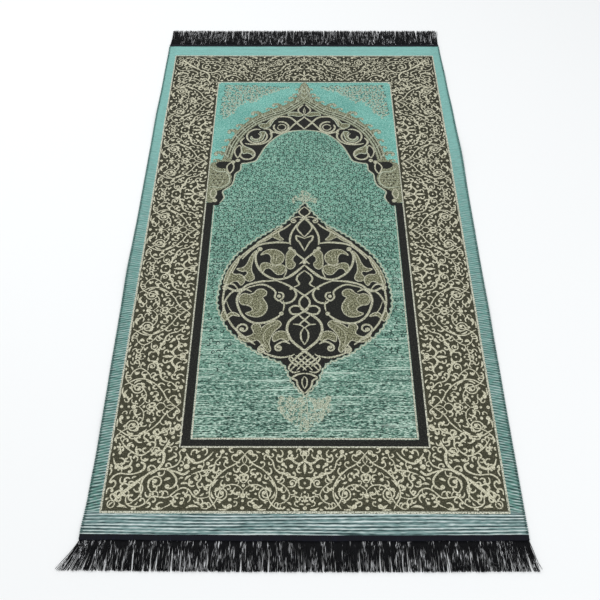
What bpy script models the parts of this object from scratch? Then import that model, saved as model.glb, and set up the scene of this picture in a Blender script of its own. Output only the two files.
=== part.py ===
"""Prayer rug: a thin woven cloth that lies flat, with a sewn tape and a fringe at each end.

Metres, +Z up. The cloth lies in the XY plane with its length along Y, and the niche of its
woven pattern points to +Y. The origin is on the floor, under the middle of the whole rug.
"""

import bmesh
import bpy
from mathutils import Vector

# Cloth
CLOTH_WIDTH = 0.682
CLOTH_LENGTH = 1.206
CLOTH_THICKNESS = 0.002
CLOTH_COLUMNS = 20
CLOTH_ROWS = 44
NEAR_BOW = 0.004  # how far the middle of the near end stands out past its corners
TAPE_LIFT_RUN = 0.035  # the cloth rises onto the tape's lower leaf over this length

# How far each side edge stands out from straight, in mm, from the near end (0) to the far end (1)
SIDE_ROWS = (
    # share, left, right
    (0.00, 0.0, 0.0),
    (0.12, -0.8, 0.6),
    (0.27, 1.2, 1.6),
    (0.42, 2.6, 2.2),
    (0.55, 0.6, 3.0),
    (0.66, 0.2, 4.4),
    (0.78, -0.6, 2.6),
    (0.90, -2.4, -1.4),
    (1.00, -3.6, -4.2),
)

# Soft lifts, where the cloth doesn't quite lie down: place of the crest, height and reach
LIFT_ROWS = (
    # x, y, height, reach across, reach along
    (-0.341, 0.330, 0.0024, 0.050, 0.090),
    (0.341, 0.225, 0.0030, 0.055, 0.100),
    (-0.341, -0.110, 0.0020, 0.045, 0.080),
    (0.341, -0.190, 0.0016, 0.040, 0.090),
    (-0.341, -0.420, 0.0014, 0.040, 0.070),
    (0.341, 0.470, 0.0016, 0.040, 0.060),
)

# Tape, folded over each raw end of the cloth
TAPE_LEAF = 0.0006
TAPE_GAP = 0.0003
TAPE_COVER = 0.006  # how much of the cloth it covers
TAPE_SECTIONS = 24

# Fringe
FRINGE_LENGTH = 0.060
FRINGE_THICKNESS = 0.0016
FRINGE_BAR = 0.003
FRINGE_TEETH = 56
TOOTH_SHARE = 0.68  # width of a tooth beside its pitch
SPLAY_REACH = 0.060  # the strands within this of a corner fan out
NEAR_SPLAY = (0.024, 0.018)  # at the left and right corners of the near end
FAR_SPLAY = (-0.002, 0.002)

CLOTH_COLOR = (0.135, 0.330, 0.300, 1.0)
TAPE_COLOR = (0.012, 0.013, 0.028, 1.0)
FRINGE_COLOR = (0.010, 0.011, 0.017, 1.0)


def clear_scene():
    for old in list(bpy.data.objects):
        bpy.data.objects.remove(old)


def make_material(name, color, roughness):
    material = bpy.data.materials.new(name)
    material.use_nodes = True
    shader = material.node_tree.nodes["Principled BSDF"]
    shader.inputs["Base Color"].default_value = color
    shader.inputs["Roughness"].default_value = roughness
    shader.inputs["Metallic"].default_value = 0.0
    return material


def add_object(name, mesh_data, material):
    mesh = bpy.data.meshes.new(name)
    mesh_data.to_mesh(mesh)
    mesh_data.free()
    mesh.materials.append(material)
    made = bpy.data.objects.new(name, mesh)
    bpy.context.scene.collection.objects.link(made)
    return made


def eased(share):
    """0 to 1 with a flat start and a flat end."""
    held = min(max(share, 0.0), 1.0)
    return held * held * (3.0 - 2.0 * held)


def between_rows(rows, share, column):
    """A column's value at this share of the way along a table, eased from row to row."""
    for low, high in zip(rows, rows[1:]):
        if share <= high[0]:
            step = eased((share - low[0]) / (high[0] - low[0]))
            return low[column] + (high[column] - low[column]) * step
    return rows[-1][column]


def side_offset(y, column):
    """How far a side edge stands out at y, in metres. Column 1 is the left edge, 2 the right."""
    share = y / CLOTH_LENGTH + 0.5
    return between_rows(SIDE_ROWS, share, column) * 0.001


def near_bow(x):
    """How far the near end stands out at x."""
    share = 2.0 * x / CLOTH_WIDTH
    return NEAR_BOW * max(1.0 - share * share, 0.0)


def tape_lift(y):
    """The cloth's ends lie on the tapes' lower leaves, so the underside rises to clear them."""
    from_end = CLOTH_LENGTH / 2 - abs(y)
    return (TAPE_LEAF + TAPE_GAP) * (1.0 - eased((from_end - TAPE_COVER) / TAPE_LIFT_RUN))


def soft_lift(x, y):
    """Height of the underside over the floor where the cloth doesn't lie down."""
    total = 0.0
    for at_x, at_y, height, across, along in LIFT_ROWS:
        away = ((x - at_x) / across) ** 2 + ((y - at_y) / along) ** 2
        total += height * (1.0 - eased(away ** 0.5))
    return total


def placed(x, y):
    """A point of the flat rectangle moved to where it is on the lying cloth's underside."""
    half = CLOTH_WIDTH / 2
    side = side_offset(y, 1 if x < 0 else 2)
    lain_x = x * (1.0 + side / half)
    near_share = max(-2.0 * y / CLOTH_LENGTH, 0.0)
    lain_y = y - near_bow(x) * near_share ** 6
    return Vector((lain_x, lain_y, tape_lift(y) + soft_lift(x, y)))


def end_corner(side, end):
    """x of the cloth's corner. side is -1 or 1 (left, right), end is -1 or 1 (near, far)."""
    return placed(side * CLOTH_WIDTH / 2, end * CLOTH_LENGTH / 2).x


def make_cloth(material):
    cloth = bmesh.new()
    bmesh.ops.create_grid(cloth, x_segments=CLOTH_COLUMNS, y_segments=CLOTH_ROWS, size=0.5)
    for vert in cloth.verts:
        vert.co = placed(vert.co.x * CLOTH_WIDTH, vert.co.y * CLOTH_LENGTH)
    made = add_object("rug_cloth", cloth, material)
    solid = made.modifiers.new("Thickness", "SOLIDIFY")
    solid.thickness = CLOTH_THICKNESS
    solid.offset = 1.0
    return made


def tape_profile(end):
    """(y, z) of the folded tape's section, anticlockwise seen from -X. y is from the cloth's end."""
    slot_top = TAPE_LEAF + TAPE_GAP + CLOTH_THICKNESS + TAPE_GAP
    top = slot_top + TAPE_LEAF
    fold = TAPE_GAP + TAPE_LEAF
    bevel = TAPE_LEAF
    section = (
        (-TAPE_COVER, 0.0),
        (fold - bevel, 0.0),
        (fold, bevel),
        (fold, top - bevel),
        (fold - bevel, top),
        (-TAPE_COVER + bevel, top),
        (-TAPE_COVER, top - bevel / 2),
        (-TAPE_COVER, slot_top),
        (TAPE_GAP, slot_top),
        (TAPE_GAP, TAPE_LEAF),
        (-TAPE_COVER, TAPE_LEAF),
    )
    return [(end * y, z) for y, z in section]


def end_line(x, end):
    """y of the cloth's end edge at x."""
    bow = near_bow(x) if end < 0 else 0.0
    return end * CLOTH_LENGTH / 2 - bow


def make_tape(name, end, material):
    tape = bmesh.new()
    left, right = end_corner(-1, end), end_corner(1, end)
    section = tape.faces.new([tape.verts.new((0.0, y, z)) for y, z in tape_profile(end)])
    grown = bmesh.ops.extrude_face_region(tape, geom=[section])["geom"]
    far_side = [item for item in grown if isinstance(item, bmesh.types.BMVert)]
    bmesh.ops.translate(tape, verts=far_side, vec=(1.0, 0.0, 0.0))
    lengthwise = [edge for edge in tape.edges if abs(edge.verts[0].co.x - edge.verts[1].co.x) > 0.5]
    bmesh.ops.subdivide_edges(tape, edges=lengthwise, cuts=TAPE_SECTIONS - 1, use_grid_fill=True)
    for vert in tape.verts:
        vert.co.x = left + (right - left) * vert.co.x
        vert.co.y += end_line(vert.co.x, end)
    bmesh.ops.recalc_face_normals(tape, faces=tape.faces)
    return add_object(name, tape, material)


def splay(x, share, left, right, reach):
    """How far a strand at x leans sideways at this share of its length."""
    lean = 0.0
    for side, amount, corner in ((-1, reach[0], left), (1, reach[1], right)):
        nearness = 1.0 - abs(x - corner) / SPLAY_REACH
        if nearness > 0.0:
            lean += side * amount * nearness ** 2
    return lean * share ** 1.2


def make_fringe(name, end, reach, material):
    """A comb: a bar along the tape and teeth that lie on the floor."""
    left, right = end_corner(-1, end), end_corner(1, end)
    tape_front = TAPE_GAP + TAPE_LEAF + TAPE_GAP
    columns = 2 * FRINGE_TEETH - 1
    pitch = (right - left) / (FRINGE_TEETH - 1 + TOOTH_SHARE)
    comb = bmesh.new()
    bmesh.ops.create_grid(comb, x_segments=columns, y_segments=2, size=0.5)
    gaps = []
    for face in comb.faces:
        middle = face.calc_center_median()
        column = int((middle.x + 0.5) * columns)
        if column % 2 and middle.y > 0:
            gaps.append(face)
    bmesh.ops.delete(comb, geom=gaps, context="FACES")
    out_of_row = {-0.5: 0.0, 0.0: FRINGE_BAR, 0.5: FRINGE_LENGTH}
    for vert in comb.verts:
        line = round((vert.co.x + 0.5) * columns)
        x = left + pitch * (line // 2 + (TOOTH_SHARE if line % 2 else 0.0))
        out = out_of_row[round(vert.co.y, 1)]
        root_y = end_line(x, end) + end * tape_front
        lean = splay(x, out / FRINGE_LENGTH, left, right, reach)
        vert.co = Vector((x + lean, root_y + end * out, 0.0))
    bmesh.ops.recalc_face_normals(comb, faces=comb.faces)
    made = add_object(name, comb, material)
    solid = made.modifiers.new("Thickness", "SOLIDIFY")
    solid.thickness = FRINGE_THICKNESS
    solid.offset = 1.0 if made.data.polygons[0].normal.z > 0 else -1.0
    return made


def centre_on_origin(parts):
    """Moves every part so that the origin is under the middle of the whole rug."""
    bpy.context.view_layer.update()
    graph = bpy.context.evaluated_depsgraph_get()
    corners = []
    for part in parts:
        seen = part.evaluated_get(graph)
        corners += [seen.matrix_world @ Vector(corner) for corner in seen.bound_box]
    low = Vector(min(corner[axis] for corner in corners) for axis in range(3))
    high = Vector(max(corner[axis] for corner in corners) for axis in range(3))
    for part in parts:
        part.location -= Vector(((low.x + high.x) / 2, (low.y + high.y) / 2, low.z))


def main():
    clear_scene()
    cloth_material = make_material("teal_weave", CLOTH_COLOR, 0.75)
    tape_material = make_material("navy_tape", TAPE_COLOR, 0.6)
    fringe_material = make_material("black_fringe", FRINGE_COLOR, 0.45)
    parts = [
        make_cloth(cloth_material),
        make_tape("tape_near", -1, tape_material),
        make_tape("tape_far", 1, tape_material),
        make_fringe("fringe_near", -1, NEAR_SPLAY, fringe_material),
        make_fringe("fringe_far", 1, FAR_SPLAY, fringe_material),
    ]
    centre_on_origin(parts)


main()
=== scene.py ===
import math
import random

import bmesh
import bpy
import numpy as np
from mathutils import Matrix, Vector


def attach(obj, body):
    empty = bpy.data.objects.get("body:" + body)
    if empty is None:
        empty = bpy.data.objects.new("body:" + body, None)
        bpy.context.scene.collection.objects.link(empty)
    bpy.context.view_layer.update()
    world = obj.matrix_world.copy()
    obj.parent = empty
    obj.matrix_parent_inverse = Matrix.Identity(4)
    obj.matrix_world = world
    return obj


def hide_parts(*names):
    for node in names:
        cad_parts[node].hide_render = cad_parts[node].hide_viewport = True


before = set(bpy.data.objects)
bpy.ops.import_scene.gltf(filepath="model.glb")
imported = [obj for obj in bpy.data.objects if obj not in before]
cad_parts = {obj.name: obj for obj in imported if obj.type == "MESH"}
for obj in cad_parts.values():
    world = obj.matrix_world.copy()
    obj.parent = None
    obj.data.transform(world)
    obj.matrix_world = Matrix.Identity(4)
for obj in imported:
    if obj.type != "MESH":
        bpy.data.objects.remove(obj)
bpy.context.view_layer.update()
mm = 0.001

# Flat places are in millimetres from the middle of the woven border, +y towards the niche's point.
cloth = {
    "halfWidth": 341.0,
    "nearEnd": -599.5,
    "farEnd": 606.5,
    "middle": (3.0, -1.5),  # the border's middle on the floor
    "thickness": 2.0,
    "nearBow": 1.5,  # how much further the near end reaches in its middle
    "nearReach": 6.5,  # how far the plain band there is pulled out
    "tapeRise": 0.9,  # the ends lie on the tapes' lower leaves
    "tapeCover": 6.0,
    "tapeRun": 35.0,
    "cell": 8.5,  # spacing of the mesh's columns
    "row": 5.0,
    "bandRow": 1.2,
}
border = {
    "x": 316.5,
    "y": 563.2,
    "innerX": 205.5,
    "innerNear": -458.0,
    "innerFar": 465.0,
    "repeat": 195.3,
    "depth": 108.0,  # from its inner edge to its outer one, as the scrolls are charted
    "lastRow": 105.5,  # no line is drawn further out than this
    "middleY": 4.7,
    "weight": 0.86,
    "farWeight": 0.70,
    "scrolls": (0.02, 0.22),  # level over the cloth, rise
    "lines": (0.02, 0.18),
}
frameBand = {"innerX": 189.0, "innerNear": -445.0, "top": 78.0}

# how far each side edge stands out, from the near end (0) to the far end (1): share, left, right
edgeRows = (
    (0.00, 2.8, 0.0),
    (0.05, 0.2, 0.4),
    (0.12, -0.8, 0.6),
    (0.27, 1.2, 1.6),
    (0.42, 2.6, 2.2),
    (0.55, 0.6, 3.0),
    (0.66, 0.2, 4.4),
    (0.78, -0.6, 2.6),
    (0.90, -2.4, -1.4),
    (1.00, -3.6, -4.2),
)
# soft lifts at the side edges: x, y, height, reach across, reach along
liftRows = (
    (-341, 333, 2.4, 50, 90),
    (341, 228, 3.0, 55, 100),
    (-341, -107, 2.0, 45, 80),
    (341, -187, 1.6, 40, 90),
    (-341, -417, 1.4, 40, 70),
    (341, 473, 1.6, 40, 60),
)
# soft ridges where the rug was folded: along which axis, at, height, half width
creaseRows = (
    ("x", 2.0, 0.30, 9.0),
    ("y", -303.0, 0.24, 9.0),
    ("y", 4.0, 0.28, 8.0),
    ("y", 306.0, 0.22, 9.0),
)


def eased(share):
    held = np.clip(share, 0.0, 1.0)
    return held * held * (3.0 - 2.0 * held)


def alongRows(rows, share, column):
    stops = np.array([row[0] for row in rows])
    values = np.array([row[column] for row in rows])
    low = np.clip(np.searchsorted(stops, share) - 1, 0, len(rows) - 2)
    step = eased((share - stops[low]) / (stops[low + 1] - stops[low]))
    return values[low] + (values[low + 1] - values[low]) * step


def underside(x, y):
    fromEnd = np.minimum(y - cloth["nearEnd"], cloth["farEnd"] - y)
    rise = cloth["tapeRise"] * (1.0 - eased((fromEnd - cloth["tapeCover"]) / cloth["tapeRun"]))
    for atX, atY, height, across, along in liftRows:
        away = np.sqrt(((x - atX) / across) ** 2 + ((y - atY) / along) ** 2)
        rise = rise + height * (1.0 - eased(away))
    for axis, at, height, spread in creaseRows:
        away = ((x if axis == "x" else y) - at + 1.5 * np.sin((y if axis == "x" else x) / 60.0)) / spread
        rise = rise + height * np.exp(-away * away)
    return rise + 0.12 * (1.0 + np.sin(x / 47.0 + 1.0) * np.sin(y / 83.0))


def bandRibs(x, y):
    # ribs of the plain band at the near end, in its surface and not only in its bump
    inside = eased((-border["y"] - 3.0 - y) / 3.0)
    drift = 0.9 * np.sin(x / 61.0) + 0.6 * np.sin(x / 23.0 + y / 9.0)
    return 0.22 * inside * np.sin((y + drift) * 2.0 * np.pi / 4.9)


def lieDown(x, y, level):
    share = (y - cloth["nearEnd"]) / (cloth["farEnd"] - cloth["nearEnd"])
    standOut = np.where(x < 0, alongRows(edgeRows, share, 1), alongRows(edgeRows, share, 2))
    outer = np.clip((np.abs(x) - border["x"]) / (cloth["halfWidth"] - border["x"]), 0.0, 1.0)
    bow = cloth["nearReach"] + cloth["nearBow"] * np.maximum(1.0 - (x / cloth["halfWidth"]) ** 2, 0.0)
    lower = np.clip((-border["y"] - y) / (-border["y"] - cloth["nearEnd"]), 0.0, 1.0)
    atX = x + np.sign(x) * standOut * outer + cloth["middle"][0]
    atY = y - bow * lower + cloth["middle"][1]
    atZ = underside(x, y) + cloth["thickness"] + level
    return np.stack([atX, atY, atZ], axis=1) * mm


def settle(mesh, level):
    # takes a mesh from flat millimetres to its place on the lying cloth; its own z is above the cloth
    flat = np.empty(len(mesh.vertices) * 3)
    mesh.vertices.foreach_get("co", flat)
    flat = flat.reshape(-1, 3)
    mesh.vertices.foreach_set("co", lieDown(flat[:, 0], flat[:, 1], flat[:, 2] + level).ravel())
    mesh.update()


def srgb(red, green, blue):
    parts = [value / 255.0 for value in (red, green, blue)]
    linear = [part / 12.92 if part <= 0.04045 else ((part + 0.055) / 1.055) ** 2.4 for part in parts]
    return (*linear, 1.0)


class Wire:
    # a socket's value, so that shader maths reads as sums
    def __init__(self, look, socket):
        self.look = look
        self.socket = socket

    def math(self, operation, *values):
        inputs = dict(enumerate(values))
        return self.look.wire("ShaderNodeMath", {"operation": operation}, inputs)

    def __add__(self, other):
        return self.math("ADD", self, other)

    def __sub__(self, other):
        return self.math("SUBTRACT", self, other)

    def __mul__(self, other):
        return self.math("MULTIPLY", self, other)

    def __truediv__(self, other):
        return self.math("DIVIDE", self, other)

    def __rsub__(self, other):
        return self.math("SUBTRACT", other, self)

    __radd__ = __add__
    __rmul__ = __mul__

    def held(self):
        return self.math("MINIMUM", self.math("MAXIMUM", self, 0.0), 1.0)

    def ramp(self, low, high):
        return ((self - low) / (high - low)).held()

    def sine(self):
        return self.math("SINE", self)

    def size(self):
        return self.math("ABSOLUTE", self)


class Look:
    # one material: the Principled shader, with constants on its own sockets
    def __init__(self, name, constants):
        self.material = bpy.data.materials.new(name)
        self.material.use_nodes = True
        self.tree = self.material.node_tree
        self.shader = self.tree.nodes["Principled BSDF"]
        for socket, value in constants.items():
            self.shader.inputs[socket].default_value = value
        place = self.node("ShaderNodeTexCoord", {}, {})
        self.position = Wire(self, place.outputs["Object"])

    def node(self, kind, settings, inputs):
        made = self.tree.nodes.new(kind)
        for name, value in settings.items():
            setattr(made, name, value)
        for name, value in inputs.items():
            self.plug(made.inputs[name], value)
        return made

    def plug(self, socket, value):
        if isinstance(value, Wire):
            self.tree.links.new(value.socket, socket)
        else:
            socket.default_value = value

    def wire(self, kind, settings, inputs, output=0):
        return Wire(self, self.node(kind, settings, inputs).outputs[output])

    def axis(self, letter):
        # one coordinate, in millimetres
        split = self.wire("ShaderNodeSeparateXYZ", {}, {0: self.position}, letter)
        return split * 1000.0

    def noise(self, across, along, shift=0.0, detail=1.0, warp=0.0):
        # cloudy noise whose lumps are about so many millimetres across (x) and along (y)
        scale = (1000.0 / across, 1000.0 / along, 1000.0 / across)
        stretched = self.wire("ShaderNodeVectorMath", {"operation": "MULTIPLY"},
                              {0: self.position, 1: scale})
        moved = self.wire("ShaderNodeVectorMath", {"operation": "ADD"},
                          {0: stretched, 1: (shift, shift * 0.7, 0.0)})
        inputs = {"Vector": moved, "Scale": 1.0, "Detail": detail, "Roughness": 0.55, "Distortion": warp}
        return self.wire("ShaderNodeTexNoise", {"noise_dimensions": "3D"}, inputs)

    def blend(self, factor, first, second):
        # sockets 6 and 7 take the colours, and output 2 gives the blend
        inputs = {"Factor": factor, 6: first, 7: second}
        return self.wire("ShaderNodeMix", {"data_type": "RGBA"}, inputs, 2)

    def color(self, value):
        self.plug(self.shader.inputs["Base Color"], value)

    def rough(self, value):
        self.plug(self.shader.inputs["Roughness"], value)

    def bump(self, height, distance, strength=1.0):
        inputs = {"Height": height, "Distance": distance, "Strength": strength}
        self.plug(self.shader.inputs["Normal"], self.wire("ShaderNodeBump", {}, inputs))


def weave(look, pitchX, pitchY):
    # 0 to 1: rounded weft floats, each row half a float on from the last
    along = look.axis("Y") * (2.0 * math.pi / pitchY)
    across = look.axis("X") * (2.0 * math.pi / pitchX) + (along * 0.5).sine() * 1.6
    return (along.sine() * 0.5 + across.sine() * 0.3 + 1.0) * 0.5


def twill(look, pitch):
    # -1 to 1: a small diamond weave
    x, y = look.axis("X") * (2.0 * math.pi / pitch), look.axis("Y") * (2.0 * math.pi / pitch)
    return (x + y).sine() * (x - y).sine()


fabric = {"Sheen Weight": 0.06, "Sheen Roughness": 0.5, "Specular IOR Level": 0.2}


def tealLook(name, colors, marks):
    # heathered cloth: light and dark flecks that draw out into dashes of weft towards the near end
    look = Look(name, fabric)
    nearness = 1.0 - look.axis("Y").ramp(-420.0, 120.0)
    base = look.blend(look.noise(90.0, 60.0, 3.1).ramp(0.35, 0.65), colors["deep"], colors["mid"])
    # painted sheen: the base colour turns towards the greyer near colour at the near end
    base = look.blend(nearness * 0.55, base, colors["near"])
    grain = look.noise(2.6, 2.2, 8.0, 1.0)
    dash = look.noise(5.0, 1.5, 71.0, 1.0)
    fleck = grain + (dash - grain) * (nearness * 0.75 + 0.10)
    dark = (1.0 - fleck.ramp(0.41, 0.48)) * (nearness * 0.5 + 0.45) * marks["dark"]
    light = fleck.ramp(0.54, 0.62) * (nearness * 0.35 + 0.5) * marks["light"]
    speckled = look.blend(light, look.blend(dark, base, colors["dark"]), colors["light"])
    streak = look.noise(120.0, 2.2, 55.0, 1.0)
    strength = (nearness * 0.8 + 0.2) * marks["streak"]
    lighter = look.blend(streak.ramp(0.60, 0.68) * strength, speckled, colors["light"])
    look.color(look.blend((1.0 - streak.ramp(0.31, 0.38)) * strength, lighter, colors["dark"]))
    look.rough(grain * 0.3 + 0.6)
    look.bump(weave(look, 1.6, 1.3) * 0.6 + fleck * 1.2, 0.0006, 0.8)
    return look.material


def ribLook(name, colors):
    # the plain band: ribs of weft, deep and streaky at the near end, closing up towards the far end
    look = Look(name, fabric)
    y = look.axis("Y")
    nearness = 1.0 - y.ramp(-560.0, 300.0)
    outside = look.axis("X").size() - border["x"]
    slant = outside.math("MAXIMUM", outside, 0.0)
    beyondEnd = y.ramp(-border["y"] - 4.0, -border["y"])
    drift = look.noise(240.0, 60.0, 6.0, 0.0) * 1.6 + slant * beyondEnd * 0.05
    rib = ((y / 4.9 + drift) * (2.0 * math.pi)).sine()
    uneven = look.noise(150.0, 2.3, 14.0, 1.0)
    fine = look.noise(14.0, 1.8, 27.0, 1.0)
    height = rib * 0.7 + (uneven - 0.5) * 2.8 + (fine - 0.5) * 2.0
    # painted sheen: the band's colour goes from the far colour to the greyer near one towards the near end
    base = look.blend(nearness, colors["far"], colors["near"])
    atSide = outside.ramp(0.0, 3.0)
    alongSide = beyondEnd * (nearness * 0.75 + 0.1)
    base = look.blend(atSide * alongSide, base, colors["side"])
    # painted shade darkens the ribs' grooves where the bump is low, and the painted highlight lit lightens
    # their crests where it is high, less along the side edges
    paintedGrooveShade = look.blend((1.0 - height.ramp(-0.9, -0.1)) * (nearness * 0.9 + 0.08), base, colors["dark"])
    lit = height.ramp(0.15, 0.95) * (nearness * 0.85 + 0.08) * (1.0 - atSide * alongSide * 0.45)
    look.color(look.blend(lit, paintedGrooveShade, colors["light"]))
    look.rough(fine * 0.3 + 0.55)
    look.bump(height, 0.0008, 0.8)
    return look.material


def yarnLook(name, colors, pitch, contrast):
    # a plain yarn float: dotted by its twill, a little uneven
    look = Look(name, fabric)
    grain = look.noise(2.4, 2.0, 12.0, 1.0)
    dots = twill(look, pitch) * 0.5 + (0.5 - grain) * 5.0
    dotted = look.blend(dots.ramp(0.1, 0.55) * contrast, colors["mid"], colors["dark"])
    look.color(look.blend((1.0 - dots.ramp(-0.75, -0.25)) * (0.35 + contrast * 0.6), dotted,
                          colors["light"]))
    look.rough(grain * 0.3 + 0.55)
    look.bump(weave(look, 1.4, 1.1) + dots * -0.4, 0.0004, 0.7)
    return look.material


def groundLook(name, colors, contrast):
    # the matt ground between figures, darker towards the far end
    look = Look(name, fabric)
    fine = look.noise(2.3, 2.0, 17.0, 1.0)
    dots = twill(look, 3.2) * 0.35 + (fine - 0.5) * 5.0
    base = look.blend(look.axis("Y").ramp(-560.0, 500.0), colors["mid"], colors["dark"])
    base = look.blend((1.0 - dots.ramp(-0.8, -0.1)) * contrast, base, colors["dark"])
    look.color(look.blend(dots.ramp(0.15, 0.8) * contrast, base, colors["light"]))
    look.rough(fine * 0.25 + 0.65)
    look.bump(weave(look, 1.5, 1.2) * 0.8 + fine * 0.4, 0.0005, 0.7)
    return look.material


# the near colours, and the band's change from its far colour to its near one, are painted sheen: the greyer
# cast the cloth shows towards the near end
fieldColors = {"deep": srgb(98, 152, 134), "mid": srgb(114, 168, 148), "near": srgb(104, 130, 116),
               "light": srgb(214, 236, 220),
               "dark": srgb(24, 48, 42)}
nicheColors = {"deep": srgb(104, 172, 160), "mid": srgb(122, 190, 177), "near": srgb(118, 160, 148),
               "light": srgb(196, 226, 214),
               "dark": srgb(50, 96, 88)}
bandColors = {"far": srgb(134, 192, 184), "near": srgb(118, 148, 146), "side": srgb(92, 142, 130),
              "light": srgb(222, 234, 232), "dark": srgb(34, 56, 57)}
fieldTeal = tealLook("fieldTeal", fieldColors, {"light": 0.9, "dark": 1.0, "streak": 0.8})
spandrelTeal = tealLook("spandrelTeal", nicheColors, {"light": 0.8, "dark": 1.0, "streak": 0.15})
bandTeal = ribLook("bandTeal", bandColors)
oliveColors = {"dark": srgb(34, 35, 22), "mid": srgb(63, 63, 47), "light": srgb(112, 107, 86)}
oliveGround = groundLook("oliveGround", oliveColors, 0.55)
blackColors = {"dark": srgb(14, 15, 14), "mid": srgb(24, 25, 23), "light": srgb(70, 72, 62)}
blackGround = groundLook("blackGround", blackColors, 0.5)
creamColors = {"dark": srgb(126, 124, 98), "mid": srgb(210, 207, 181), "light": srgb(236, 233, 212)}
creamYarn = yarnLook("creamYarn", creamColors, 3.0, 0.75)
lineColors = {"dark": srgb(80, 80, 64), "mid": srgb(196, 198, 178), "light": srgb(240, 238, 222)}
lineYarn = yarnLook("lineYarn", lineColors, 3.4, 0.8)
strapColors = {"dark": srgb(84, 84, 64), "mid": srgb(182, 182, 156), "light": srgb(232, 230, 210)}
strapYarn = yarnLook("strapYarn", strapColors, 3.0, 0.7)
tanColors = {"dark": srgb(40, 42, 26), "mid": srgb(124, 127, 98), "light": srgb(198, 201, 176)}
tanYarn = yarnLook("tanYarn", tanColors, 3.4, 0.9)
leafColors = {"dark": srgb(42, 42, 26), "mid": srgb(114, 115, 86), "light": srgb(186, 186, 158)}
leafYarn = yarnLook("leafYarn", leafColors, 4.4, 1.0)
curlColors = {"dark": srgb(20, 36, 32), "mid": srgb(30, 52, 46), "light": srgb(58, 90, 80)}
curlYarn = yarnLook("curlYarn", curlColors, 3.0, 0.5)
paleColors = {"dark": srgb(86, 92, 74), "mid": srgb(178, 188, 164), "light": srgb(224, 228, 208)}
paleYarn = yarnLook("paleYarn", paleColors, 3.0, 0.7)


def gridLines(stops, spacing):
    # stops are (place, spacing up to the next place)
    lines = []
    for (low, gap), (high, _) in zip(stops, stops[1:]):
        parts = max(1, math.ceil((high - low) / (gap or spacing)))
        lines += [low + (high - low) * part / parts for part in range(parts)]
    return lines + [stops[-1][0]]


halfStops = [frameBand["innerX"], border["innerX"], border["x"], cloth["halfWidth"]]
columnStops = [-stop for stop in reversed(halfStops)] + [0.0] + halfStops
columns = gridLines([(stop, None) for stop in columnStops], cloth["cell"])
rows = gridLines([(cloth["nearEnd"], cloth["bandRow"]), (-border["y"], None), (border["innerNear"], None),
                  (frameBand["innerNear"], None), (frameBand["top"], None), (border["innerFar"], None),
                  (border["y"], None), (cloth["farEnd"], None)], cloth["row"])


def keep(name, mesh, material):
    mesh.name = name
    if material:
        mesh.materials.clear()
        mesh.materials.append(material)
    piece = bpy.data.objects.new(name, mesh)
    bpy.context.scene.collection.objects.link(piece)
    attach(piece, "root")
    print(name, len(mesh.polygons), "faces")
    return piece


def smoothPath(points, closed=False, step=2.4):
    # a smooth line through the points (each x, y and any further values); a doubled point is a corner
    knots = [np.array(point, float) for point in points]
    count = len(knots)
    path = []
    for index in range(count if closed else count - 1):
        around = [knots[(index + shift) % count] if closed else knots[min(max(index + shift, 0), count - 1)]
                  for shift in (-1, 0, 1, 2)]
        span = np.linalg.norm((around[2] - around[1])[:2])
        if span < 1e-6:
            continue
        for part in range(max(1, round(span / step))):
            t = part / max(1, round(span / step))
            path.append(0.5 * (2 * around[1] + (around[2] - around[0]) * t
                               + (2 * around[0] - 5 * around[1] + 4 * around[2] - around[3]) * t ** 2
                               + (3 * around[1] - around[0] - 3 * around[2] + around[3]) * t ** 3))
    if not closed:
        path.append(knots[-1])
    return path


def straight(u, v):
    return u, v


def makeSection():
    # the low triangular section that every woven line is drawn with
    curve = bpy.data.curves.new("yarnSection", "CURVE")
    curve.dimensions = "2D"
    spline = curve.splines.new("POLY")
    spline.points.add(2)
    for point, (across, up) in zip(spline.points, ((-1.0, 0.0), (1.0, 0.0), (0.0, 1.0))):
        point.co = (across, up, 0.0, 1.0)
    spline.use_cyclic_u = True
    section = bpy.data.objects.new("yarnSection", curve)
    section.hide_render = True
    bpy.context.scene.collection.objects.link(section)
    return section


yarnSection = makeSection()


def curveMesh(name, curve, near):
    # the curve as a closed mesh: points nearer than this are one, and every face points outwards
    holder = bpy.data.objects.new(name, curve)
    bpy.context.scene.collection.objects.link(holder)
    bpy.context.view_layer.update()
    shape = bpy.data.meshes.new_from_object(holder.evaluated_get(bpy.context.evaluated_depsgraph_get()))
    bpy.data.objects.remove(holder)
    bpy.data.curves.remove(curve)
    body = bmesh.new()
    body.from_mesh(shape)
    bmesh.ops.remove_doubles(body, verts=body.verts, dist=near)
    bmesh.ops.dissolve_degenerate(body, dist=near, edges=body.edges)
    bmesh.ops.delete(body, geom=[vert for vert in body.verts if not vert.link_faces], context="VERTS")
    bmesh.ops.recalc_face_normals(body, faces=body.faces)
    body.to_mesh(shape)
    body.free()
    return shape


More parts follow.
